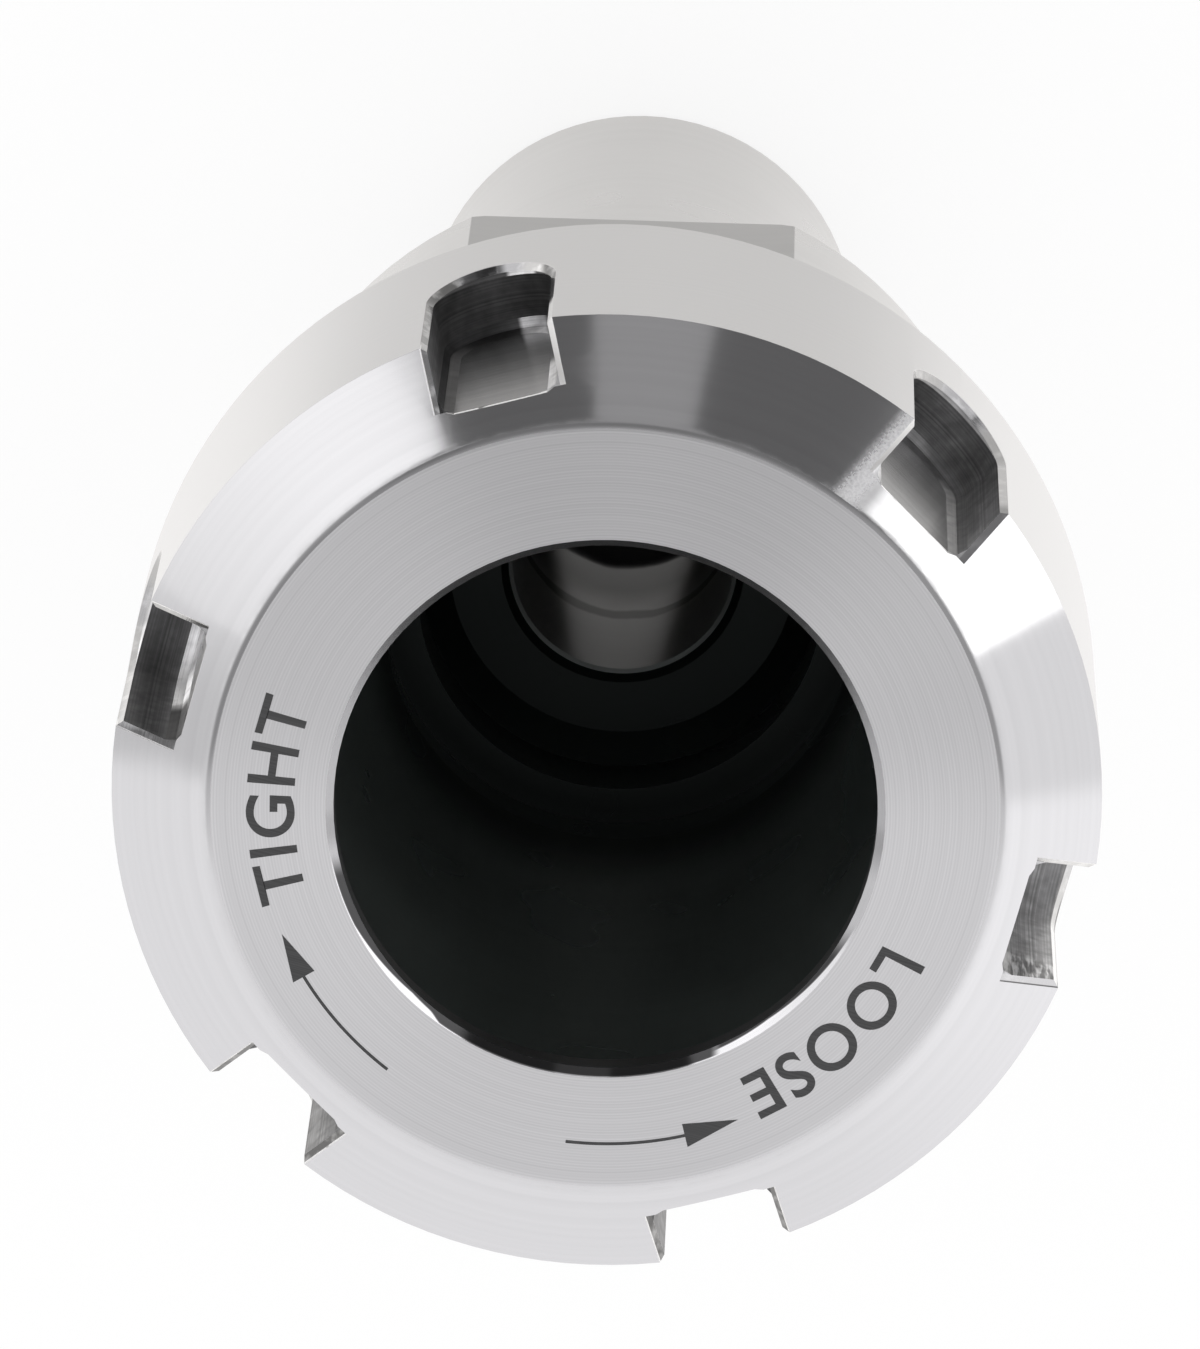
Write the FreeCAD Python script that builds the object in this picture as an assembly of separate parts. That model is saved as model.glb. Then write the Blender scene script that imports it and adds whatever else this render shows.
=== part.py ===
"""Straight shank collet chuck: a one-piece chuck body and its slotted clamping nut.

All sizes are in millimetres. The origin is the centre of the shank's end face and +Z points
along the chuck's axis towards the nut. The wrench flats face +Y and -Y.
"""
import FreeCAD, Part
import math
import os

# The collet that the chuck takes: most other diameters follow from its mouth.
COLLET_DIAMETER = 33.0          # width of the taper where the collet enters
TAPER_HALF_ANGLE = 8.0          # degrees
TAPER_LENGTH = 27.9
TAPER_RELIEF_LENGTH = 3.7       # turned groove where the grinding of the taper runs out
TAPER_RELIEF_DEPTH = 0.25
BACK_BORE_STEP = 1.7            # ledge between the relief groove and the bore behind it
BACK_BORE_LENGTH = 6.0
BACK_BORE_CHAMFER = 1.5
SHANK_BORE_DIAMETER = 12.0      # runs on through the shank, for coolant and long tools
BORE_EDGE_CHAMFER = 0.6

# Shank and head of the body.
SHANK_DIAMETER = 25.0
SHANK_LENGTH = 50.0
SHANK_END_CHAMFER = 1.0
SHANK_RELIEF_LENGTH = 2.0       # groove that lets the grinding wheel run up to the shoulder
SHANK_RELIEF_DEPTH = 0.2
COLLAR_LENGTH = 24.0            # full-width part of the head, which holds the wrench flats
COLLAR_CHAMFER = 0.3
FLAT_LENGTH = 16.0
FLAT_DEPTH = 2.0

# Thread between body and nut, drawn as plain cylinders at its mean diameter.
NOSE_WALL = 3.5                 # from the taper's mouth out to the crest of the thread
THREAD_PITCH = 1.5
THREAD_MEAN_DEPTH = 0.45        # from the crest of the thread in to its mean diameter
THREAD_CLEARANCE = 0.05         # radial play of the nut on the body
THREAD_RUNOUT = 2.5             # thread left bare behind the nut
THREAD_RELIEF_LENGTH = 3.0
THREAD_RELIEF_DEPTH = 1.3
NOSE_CHAMFER = 1.0

# Clamping nut, outside.
NUT_LENGTH = 22.5
NUT_OVERHANG = 9.4              # how far the nut's face stands in front of the body's nose
NUT_WALL = 5.0                  # from the crest of the thread out to the nut's skin
NUT_FACE_CHAMFER_WIDTH = 5.0
NUT_FACE_CHAMFER_LENGTH = 2.75
NUT_BACK_CHAMFER = 0.5
NUT_EDGE_BREAK = 0.18           # between the face and its chamfer
NUT_REST_ANGLE = 45.6           # degrees from +X to the first spanner slot

# Spanner slots, milled with an end mill whose axis is radial.
SLOT_COUNT = 6
SLOT_WIDTH = 6.2
SLOT_LENGTH = 15.2
SLOT_FLOOR_THICKNESS = 1.5      # left between the slot's floor and the crest of the thread
SLOT_CORNER_RADIUS = 0.7        # left by the end mill's rounded tip
SLOT_EDGE_BREAK = 0.35
CUTTER_MARGIN = 1.0             # how far the slot's cutters stand out of the nut

# Clamping nut, inside.
MOUTH_STEP = 2.81               # from the collet's edge in to the nut's mouth
MOUTH_BEVEL = 0.4
MOUTH_LENGTH = 1.8
CLAMP_CONE_HALF_ANGLE = 30.0    # degrees
CLAMP_CONE_INSET = 0.1          # from the collet's edge in to the wide end of the cone
SHOULDER_CLEARANCE = 0.4        # radial room round the collet's shoulder
SHOULDER_GROOVE_LENGTH = 0.9
LIP_LENGTH = 1.4
LIP_HEIGHT = 1.3                # where the eccentric lip stands in the furthest
LIP_ANGLE = 45.0                # degrees from the first slot to the highest part of the lip
INNER_RELIEF_LENGTH = 1.6       # room for the body's nose and the run-out of the inner thread
INNER_RELIEF_DEPTH = 0.4
NUT_THREAD_CHAMFER = 1.0

# Radii and heights that follow from the sizes above.
collet_radius = COLLET_DIAMETER / 2
thread_radius = collet_radius + NOSE_WALL
thread_mean_radius = thread_radius - THREAD_MEAN_DEPTH
nut_radius = thread_radius + NUT_WALL
shank_radius = SHANK_DIAMETER / 2
collar_top = SHANK_LENGTH + COLLAR_LENGTH
thread_bottom = collar_top + THREAD_RELIEF_LENGTH
nose_height = thread_bottom + THREAD_RUNOUT + NUT_LENGTH - NUT_OVERHANG
nut_top = nose_height + NUT_OVERHANG
nut_bottom = nut_top - NUT_LENGTH
slot_half_width = SLOT_WIDTH / 2
slot_floor_radius = thread_radius + SLOT_FLOOR_THICKNESS
slot_arc_height = nut_top - SLOT_LENGTH + slot_half_width    # centre of the slot's round end

Z_AXIS = FreeCAD.Vector(0, 0, 1)


def revolved(profile):
    """Return the solid that a closed outline of (radius, height) corners sweeps about Z."""
    corners = [FreeCAD.Vector(radius, 0, height) for radius, height in profile]
    outline = Part.makePolygon(corners + corners[:1])
    return Part.Face(outline).revolve(FreeCAD.Vector(), Z_AXIS, 360)


def turned(shape, degrees):
    """Return a copy of the shape turned about the chuck's axis."""
    copy = shape.copy()
    copy.rotate(FreeCAD.Vector(), Z_AXIS, degrees)
    return copy


def body_outside():
    """Turn the body's outside, from the shank's end face up to the nose."""
    relief_radius = shank_radius - SHANK_RELIEF_DEPTH
    groove_radius = thread_radius - THREAD_RELIEF_DEPTH
    return revolved([
        (0, 0),
        (shank_radius - SHANK_END_CHAMFER, 0),
        (shank_radius, SHANK_END_CHAMFER),
        (shank_radius, SHANK_LENGTH - SHANK_RELIEF_LENGTH),
        (relief_radius, SHANK_LENGTH - SHANK_RELIEF_LENGTH + SHANK_RELIEF_DEPTH),
        (relief_radius, SHANK_LENGTH),
        (thread_radius - COLLAR_CHAMFER, SHANK_LENGTH),
        (thread_radius, SHANK_LENGTH + COLLAR_CHAMFER),
        (thread_radius, collar_top - COLLAR_CHAMFER),
        (thread_radius - COLLAR_CHAMFER, collar_top),
        (groove_radius, collar_top),
        (groove_radius, thread_bottom - THREAD_RELIEF_DEPTH / 2),
        (thread_mean_radius, thread_bottom),
        (thread_mean_radius, nose_height - NOSE_CHAMFER),
        (thread_mean_radius - NOSE_CHAMFER, nose_height),
        (0, nose_height),
    ])


def body_hollow():
    """The stepped hole through the body: collet taper, relief, back bore and shank bore."""
    taper_bottom = nose_height - TAPER_LENGTH
    taper_end_radius = collet_radius - TAPER_LENGTH * math.tan(math.radians(TAPER_HALF_ANGLE))
    relief_radius = taper_end_radius + TAPER_RELIEF_DEPTH
    relief_bottom = taper_bottom - TAPER_RELIEF_LENGTH
    back_radius = taper_end_radius - BACK_BORE_STEP
    back_bottom = relief_bottom - BACK_BORE_LENGTH
    bore_radius = SHANK_BORE_DIAMETER / 2
    return revolved([
        (0, 0),
        (bore_radius + BORE_EDGE_CHAMFER, 0),
        (bore_radius, BORE_EDGE_CHAMFER),
        (bore_radius, back_bottom - BORE_EDGE_CHAMFER),
        (bore_radius + BORE_EDGE_CHAMFER, back_bottom),
        (back_radius - BACK_BORE_CHAMFER, back_bottom),
        (back_radius, back_bottom + BACK_BORE_CHAMFER),
        (back_radius, relief_bottom),
        (relief_radius, relief_bottom),
        (relief_radius, taper_bottom - TAPER_RELIEF_DEPTH),
        (taper_end_radius, taper_bottom),
        (collet_radius, nose_height),
        (0, nose_height),
    ])


def wrench_flat(side):
    """The block milled off one side of the collar, with side +1 for +Y and -1 for -Y."""
    block = Part.makeBox(2 * thread_radius, thread_radius, FLAT_LENGTH)
    low_y = thread_radius - FLAT_DEPTH if side > 0 else FLAT_DEPTH - 2 * thread_radius
    block.translate(FreeCAD.Vector(-thread_radius, low_y, SHANK_LENGTH))
    return block


def make_body():
    """Chuck body: ground shank, collar with two wrench flats, threaded nose and taper."""
    body = body_outside().cut(body_hollow())
    for side in (1, -1):
        body = body.cut(wrench_flat(side))
    return body


def nut_outside():
    """Turn the nut's outside, with a narrow edge break between its face and its front chamfer."""
    face_radius = nut_radius - NUT_FACE_CHAMFER_WIDTH
    chamfer_bottom = nut_top - NUT_FACE_CHAMFER_LENGTH
    slope = math.atan2(NUT_FACE_CHAMFER_LENGTH, NUT_FACE_CHAMFER_WIDTH)
    break_width = NUT_EDGE_BREAK * math.cos(slope)
    break_drop = NUT_EDGE_BREAK * math.sin(slope)
    return revolved([
        (0, nut_bottom),
        (nut_radius - NUT_BACK_CHAMFER, nut_bottom),
        (nut_radius, nut_bottom + NUT_BACK_CHAMFER),
        (nut_radius, chamfer_bottom),
        (face_radius + break_width, nut_top - break_drop),
        (face_radius - NUT_EDGE_BREAK, nut_top),
        (0, nut_top),
    ])


def nut_hollow():
    """The nut's inside: mouth, clamping cone, eccentric lip, nose room and thread."""
    mouth_radius = collet_radius - MOUTH_STEP
    cone_end_radius = collet_radius - CLAMP_CONE_INSET
    cone_length = (cone_end_radius - mouth_radius) / math.tan(math.radians(CLAMP_CONE_HALF_ANGLE))
    cone_top = nut_top - MOUTH_LENGTH
    cone_bottom = cone_top - cone_length
    groove_radius = cone_end_radius + SHOULDER_CLEARANCE
    lip_top = cone_bottom - SHOULDER_GROOVE_LENGTH
    lip_bottom = lip_top - LIP_LENGTH
    front = revolved([
        (0, lip_top),
        (groove_radius, lip_top),
        (groove_radius, cone_bottom),
        (cone_end_radius, cone_bottom),
        (mouth_radius, cone_top),
        (mouth_radius, nut_top - MOUTH_BEVEL),
        (mouth_radius + MOUTH_BEVEL, nut_top),
        (0, nut_top),
    ])

    eccentricity = LIP_HEIGHT / 2
    lip_hole = Part.makeCylinder(cone_end_radius - eccentricity, LIP_LENGTH,
                                 FreeCAD.Vector(-eccentricity, 0, lip_bottom))
    lip_hole = turned(lip_hole, LIP_ANGLE)

    thread_hole_radius = thread_mean_radius + THREAD_CLEARANCE
    relief_radius = thread_radius + INNER_RELIEF_DEPTH
    relief_bottom = lip_bottom - INNER_RELIEF_LENGTH
    back = revolved([
        (0, nut_bottom),
        (thread_hole_radius + NUT_THREAD_CHAMFER, nut_bottom),
        (thread_hole_radius, nut_bottom + NUT_THREAD_CHAMFER),
        (thread_hole_radius, relief_bottom),
        (relief_radius, relief_bottom),
        (relief_radius, lip_bottom),
        (0, lip_bottom),
    ])
    return front.fuse([lip_hole, back])


def slot_cutter():
    """The space that an end mill with a rounded tip clears for the slot that faces +X.

    The rounded corners of the slot's floor are drawn as two flats.
    """
    outer = nut_radius + CUTTER_MARGIN
    bend = SLOT_CORNER_RADIUS * (1 - math.cos(math.pi / 4))
    side = [
        FreeCAD.Vector(slot_floor_radius, slot_half_width - SLOT_CORNER_RADIUS, slot_arc_height),
        FreeCAD.Vector(slot_floor_radius + bend, slot_half_width - bend, slot_arc_height),
        FreeCAD.Vector(slot_floor_radius + SLOT_CORNER_RADIUS, slot_half_width, slot_arc_height),
        FreeCAD.Vector(outer, slot_half_width, slot_arc_height),
    ]
    other_side = [FreeCAD.Vector(point.x, -point.y, point.z) for point in reversed(side)]
    middle = [FreeCAD.Vector(outer, 0, slot_arc_height),
              FreeCAD.Vector(slot_floor_radius, 0, slot_arc_height)]
    run = Part.Face(Part.makePolygon(side + other_side + side[:1]))
    run = run.extrude(Z_AXIS * (nut_top + CUTTER_MARGIN - slot_arc_height))
    end = Part.Face(Part.makePolygon(side + middle + side[:1]))
    end = end.revolve(middle[1], FreeCAD.Vector(-1, 0, 0), 180)
    return run.fuse(end).removeSplitter()


def flared_bar(base, outward, along):
    """A bar that is as wide as the slot at its base and widens by 45 degrees on the way outward."""
    rise = SLOT_EDGE_BREAK + CUTTER_MARGIN
    across = FreeCAD.Vector(0, 1, 0)
    section = [
        base - across * slot_half_width,
        base + across * slot_half_width,
        base + across * (slot_half_width + rise) + outward * rise,
        base - across * (slot_half_width + rise) + outward * rise,
    ]
    return Part.Face(Part.makePolygon(section + section[:1])).extrude(along)


def slot_edge_cutters():
    """What is broken off the rim of the slot that faces +X: round the skin and up the chamfer."""
    rise = SLOT_EDGE_BREAK + CUTTER_MARGIN
    rim_x = math.sqrt(nut_radius ** 2 - slot_half_width ** 2)
    out = FreeCAD.Vector(1, 0, 0)
    skin_base = FreeCAD.Vector(rim_x - SLOT_EDGE_BREAK, 0, slot_arc_height)
    skin_bar = flared_bar(skin_base, out, Z_AXIS * (nut_top + CUTTER_MARGIN - slot_arc_height))
    skin_end = Part.makeCone(slot_half_width, slot_half_width + rise, rise, skin_base, out)

    slope = math.atan2(NUT_FACE_CHAMFER_LENGTH, NUT_FACE_CHAMFER_WIDTH)
    up_slope = FreeCAD.Vector(-math.cos(slope), 0, math.sin(slope))
    off_slope = FreeCAD.Vector(math.sin(slope), 0, math.cos(slope))
    corner = FreeCAD.Vector(rim_x, 0, nut_top - NUT_FACE_CHAMFER_LENGTH)
    slope_base = corner - off_slope * SLOT_EDGE_BREAK - up_slope * CUTTER_MARGIN
    wall_run = (rim_x - slot_floor_radius) / math.cos(slope) - SLOT_EDGE_BREAK * math.tan(slope)
    slope_bar = flared_bar(slope_base, off_slope, up_slope * (wall_run + CUTTER_MARGIN))
    return [skin_bar, skin_end, slope_bar]


def make_nut():
    """Clamping nut with its slots, turned to the angle at which it rests."""
    nut = nut_outside().cut(nut_hollow())
    cutters = [slot_cutter()] + slot_edge_cutters()
    for number in range(SLOT_COUNT):
        nut = nut.cut([turned(cutter, 360 / SLOT_COUNT * number) for cutter in cutters])
    return turned(nut, NUT_REST_ANGLE)


def save(name, shape):
    """Write one part as a STEP file and print its size."""
    solid = shape.Solids[0]
    print(name, "solids", len(shape.Solids), "volume", round(shape.Volume, 1),
          "valid", shape.isValid(), "box", shape.BoundBox)
    solid.exportStep("parts/" + name + ".step")


os.makedirs("parts", exist_ok=True)
save("chuck_body", make_body())
save("clamping_nut", make_nut())
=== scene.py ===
"""Looks for a straight shank collet chuck: finishes, thread, direction marks, stage and camera.

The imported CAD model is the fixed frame. Both steel pieces keep their CAD meshes and get new
procedural finishes. The bare thread behind the nut and the marks on the nut's face are added.
Constants and functions are in millimetres.
"""
import math

import bmesh
import bpy
from bpy.props import FloatProperty, FloatVectorProperty, PointerProperty, StringProperty
from mathutils import Matrix, Vector


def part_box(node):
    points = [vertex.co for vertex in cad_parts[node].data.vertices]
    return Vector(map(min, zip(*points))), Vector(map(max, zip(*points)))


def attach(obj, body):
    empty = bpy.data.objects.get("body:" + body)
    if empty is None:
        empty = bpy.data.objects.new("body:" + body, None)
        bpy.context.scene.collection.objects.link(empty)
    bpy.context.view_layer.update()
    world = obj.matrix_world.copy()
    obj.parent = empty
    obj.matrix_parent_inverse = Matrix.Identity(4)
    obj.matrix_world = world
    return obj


bl_info = {
    "name": "Collet chuck looks",
    "version": (1, 0, 0),
    "blender": (4, 5, 0),
    "location": "3D View > Sidebar > Chuck",
    "description": "Finishes, thread, marks and stage for a straight shank collet chuck",
    "category": "Object",
}

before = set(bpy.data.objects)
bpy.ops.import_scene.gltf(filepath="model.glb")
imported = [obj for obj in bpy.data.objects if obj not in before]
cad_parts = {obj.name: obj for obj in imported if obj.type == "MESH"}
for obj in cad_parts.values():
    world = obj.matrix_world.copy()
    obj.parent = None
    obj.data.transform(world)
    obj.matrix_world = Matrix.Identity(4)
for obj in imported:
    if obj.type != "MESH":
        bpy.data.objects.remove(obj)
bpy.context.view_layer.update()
MM = 0.001
NUT_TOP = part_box("clamping_nut")[1].z / MM
NUT_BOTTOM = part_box("clamping_nut")[0].z / MM

# Sizes of the solids that the finishes and marks follow, as in the part's source.
NUT_RADIUS = 25.0
FACE_RADIUS = 20.0
FACE_CHAMFER = (5.0, 2.75)      # width across the radius, length along the axis
CHAMFER_SLOPE = math.atan2(FACE_CHAMFER[1], FACE_CHAMFER[0])
SLOT_FLOOR = 21.5               # distance of the slots' floors from the axis
SLOT_ANGLE = 45.6               # degrees from +X to the first spanner slot
FACE_CROWN = 0.08               # how much the face's turning marks lean outwards
SLOT_EDGE_BREAK = 0.35
MOUTH_RADIUS = 13.69
MOUTH_BEVEL = 0.4
FACE_EDGE_BREAK = 0.18
EDGE_BREAK_RADIUS = 19.99       # middle of the break between face and chamfer
EDGE_BREAK_HALF = 0.17
BORE_RADIUS = 6.0
HOLLOW_LIMIT = (11.0, 17.0)     # between the hollow and the outside, in the shank and the head
COLLAR_FOOT = 50.0
FLAT_Y = 18.0
FLAT_TOP = 66.0
THREAD_FOOT = 77.2
THREAD_END = 79.9
THREAD_MEAN_RADIUS = 19.55
THREAD_CREST_RADIUS = 20.0

# The photograph's camera in the row frame, in millimetres, and its long lens.
CAMERA_PLACE = Vector((7.003, 164.344, 658.543))
CAMERA_AHEAD = Vector((-0.012884, -0.271886, -0.962243))
CAMERA_RIGHT = Vector((0.999457, 0.025674, -0.020637))
CAMERA_UP = Vector((-0.030316, 0.961987, -0.271408))
CAMERA_LENS = 308.216
CAMERA_SENSOR_HEIGHT = 36.0

# Heights in the hollow between which its painted shade and the bore's painted sheen come in, from
# none of it to all of it.
TAPER_DARKENS = (72.0, 65.0)
STEP_FLOOR = (54.2, 54.6)
BORE_FADES = (44.5, 39.0)
BORE_SHINE_END = (33.0, 35.0)
BORE_RING = (44.0, 45.0)        # lower and upper end of a darker ring in the bore

# Marks on the nut's face: angles from +X in degrees, an arrow's at its tail, neck and tip.
TIGHTEN_WORD_ANGLE = 180.0
TIGHTEN_ARROW = (232.7, 211.6, 203.5)
LOOSEN_WORD_ANGLE = 316.0
LOOSEN_ARROW = (264.9, 284.7, 293.9)
ARROW_RADIUS = 17.6
ARROW_STEPS = 24
CAPITAL_SHARE = 0.68            # height of a capital letter in a font of size 1

# Soft lamps, in metres.
LEFT_LAMP_PLACE = (-0.49, 0.26, 0.65)
LEFT_LAMP_SIZE = (0.50, 0.38)
RIGHT_LAMP_PLACE = (0.54, 0.22, 0.64)
RIGHT_LAMP_SIZE = (0.34, 0.28)

# The floor as metal mirrors it: painted light to both sides and towards -Y, and a painted shadow
# under the bore.
FLOOR_SIDES = (-25.0, 50.0)
FLOOR_SIDE_GLOW = 0.36
FLOOR_UNDER_BORE = -0.25

WHITE = (1.0, 1.0, 1.0, 1.0)


class Tree:
    """A node tree in the making, with short calls for its common nodes."""

    def __init__(self, tree):
        self.tree = tree
        tree.nodes.clear()

    def feed(self, socket, value):
        if isinstance(value, bpy.types.NodeSocket):
            self.tree.links.new(value, socket)
        else:
            socket.default_value = value

    def node(self, kind, inputs=None, **settings):
        node = self.tree.nodes.new(kind)
        for name, value in settings.items():
            setattr(node, name, value)
        for key, value in (inputs or {}).items():
            self.feed(node.inputs[key], value)
        return node

    def math(self, operation, *values, clamp=False):
        node = self.node("ShaderNodeMath", operation=operation, use_clamp=clamp)
        for socket, value in zip(node.inputs, values):
            self.feed(socket, value)
        return node.outputs[0]

    def vector(self, operation, *values, out=0):
        node = self.node("ShaderNodeVectorMath", operation=operation)
        for socket, value in zip(node.inputs, values):
            self.feed(socket, value)
        return node.outputs[out]

    def scale(self, factor, vector):
        node = self.node("ShaderNodeVectorMath", {0: vector, "Scale": factor}, operation="SCALE")
        return node.outputs[0]

    def step(self, value, low, high):
        """0 up to low and 1 from high on, with a smooth rise between; low above high falls."""
        node = self.node("ShaderNodeMapRange", {"Value": value, "From Min": low, "From Max": high},
                         interpolation_type="SMOOTHSTEP")
        return node.outputs["Result"]

    def band(self, value, low, high, soft):
        """1 between two limits, with a soft fall outside each."""
        return self.both(self.step(value, low - soft, low), self.step(value, high + soft, high))

    def both(self, *masks):
        """The product of masks or values."""
        product = masks[0]
        for mask in masks[1:]:
            product = self.math("MULTIPLY", product, mask)
        return product

    def either(self, first, second):
        """The larger of two masks or values."""
        return self.math("MAXIMUM", first, second)

    def mix(self, factor, low, high, kind="FLOAT"):
        """Between two numbers, vectors or colours, low at 0 and high at 1."""
        first, result = {"FLOAT": (2, 0), "VECTOR": (4, 1), "RGBA": (6, 2)}[kind]
        node = self.node("ShaderNodeMix", {"Factor": factor}, data_type=kind)
        self.feed(node.inputs[first], low)
        self.feed(node.inputs[first + 1], high)
        return node.outputs[result]

    def tone(self, value, mask, factor):
        """The value, times the factor where the mask is 1."""
        return self.both(value, self.mix(mask, 1.0, factor))

    def spread(self, pattern, amount, base):
        """A pattern from 0 to 1, stretched to the amount and lifted by the base."""
        return self.math("MULTIPLY_ADD", pattern, amount, base)

    def away(self, value, middle):
        """How far a value lies from a middle, on either side."""
        return self.math("ABSOLUTE", self.math("SUBTRACT", value, middle))

    def split(self, vector):
        node = self.node("ShaderNodeSeparateXYZ", {0: vector})
        return node.outputs[0], node.outputs[1], node.outputs[2]

    def join(self, x, y, z):
        return self.node("ShaderNodeCombineXYZ", {0: x, 1: y, 2: z}).outputs[0]

    def lines(self, coordinate, pitch, detail=2.0):
        """Fine lines across one coordinate in millimetres, between 0 and 1 with 0.5 as mean."""
        scaled = self.math("DIVIDE", coordinate, pitch)
        node = self.node("ShaderNodeTexNoise", {"W": scaled, "Scale": 1.0, "Detail": detail,
                                                "Roughness": 0.6}, noise_dimensions="1D")
        return node.outputs["Fac"]

    def turning(self, coordinate, pitch):
        """The even rings of a lathe tool's feed, a little wandering, between 0 and 1."""
        wander = self.math("MULTIPLY", self.lines(coordinate, 1.5, 1.0), 4.0)
        phase = self.math("MULTIPLY_ADD", coordinate, math.tau / pitch, wander)
        return self.spread(self.math("SINE", phase), 0.5, 0.5)

    def cloud(self, place, size, detail=2.0):
        """Soft patches of about one size in millimetres, between 0 and 1."""
        node = self.node("ShaderNodeTexNoise", {"Vector": place, "Scale": 1.0 / size,
                                                "Detail": detail}, noise_dimensions="3D")
        return node.outputs["Fac"]


class Place:
    """Where a surface point lies: millimetres, radius and facing, all in the piece's own axes."""

    def __init__(self, tree):
        coordinates = tree.node("ShaderNodeTexCoord").outputs["Object"]
        self.point = tree.scale(1 / MM, coordinates)
        self.x, self.y, self.z = tree.split(self.point)
        self.radius = tree.vector("LENGTH", tree.join(self.x, self.y, 0.0), out="Value")
        facing = tree.node("ShaderNodeNewGeometry").outputs["True Normal"]
        self.facing = tree.node("ShaderNodeVectorTransform", {0: facing}, vector_type="NORMAL",
                                convert_from="WORLD", convert_to="OBJECT").outputs[0]
        self.around = tree.vector("CROSS_PRODUCT", (0.0, 0.0, 1.0), self.point)
        self.along_turning = tree.math("MULTIPLY_ADD", self.z, 1.31, self.radius)


def to_world(tree, direction):
    """A direction in the piece's own axes, for the shader, which wants the world's."""
    return tree.node("ShaderNodeVectorTransform", {0: direction}, vector_type="VECTOR",
                     convert_from="OBJECT", convert_to="WORLD").outputs[0]


def new_material(name):
    material = bpy.data.materials.new(name)
    material.use_nodes = True
    return material, Tree(material.node_tree)


def metal(tree, colour, roughness, groove, height, anisotropy):
    """End a tree in bare metal. The groove direction runs along the tool marks."""
    tangent = to_world(tree, groove)
    bump = tree.node("ShaderNodeBump", {"Height": height, "Strength": 1.0, "Distance": MM})
    shader = tree.node("ShaderNodeBsdfPrincipled", {
        "Base Color": colour, "Metallic": 1.0, "Roughness": roughness,
        "Anisotropic": anisotropy, "Anisotropic Rotation": 0.25,
        "Tangent": tangent, "Normal": bump.outputs["Normal"]})
    tree.node("ShaderNodeOutputMaterial", {"Surface": shader.outputs[0]})


class BodyTone:
    """Shares of the body steel's colour, what patterns add to them, and gloss."""
    PLAIN = 0.955
    FINE_LINES = 0.05
    COARSE_LINES = 0.05
    FLAT = 0.70
    # The hollow's painted shade: the taper darker, darker still behind it, and ledges darkest.
    TAPER = 0.80
    BEHIND_TAPER = 0.25
    LEDGE = 0.20
    # A painted sheen in the bore near its top, a darker ring, and painted shade further down.
    BORE = 1.10
    BORE_RING = 0.45
    BORE_FAR_END = 0.33
    OIL = (0.90, 1.0, 0.97, 1.0)
    FLAT_ROUGHER = 0.08
    CLOUD_ROUGHER = 0.08
    BORE_ROUGHNESS = (0.31, 0.90)     # where it shines, and behind that
    LINE_HEIGHT = (0.0012, 0.0030)    # outside and in the hollow, in millimetres
    ANISOTROPY = 0.75


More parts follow.
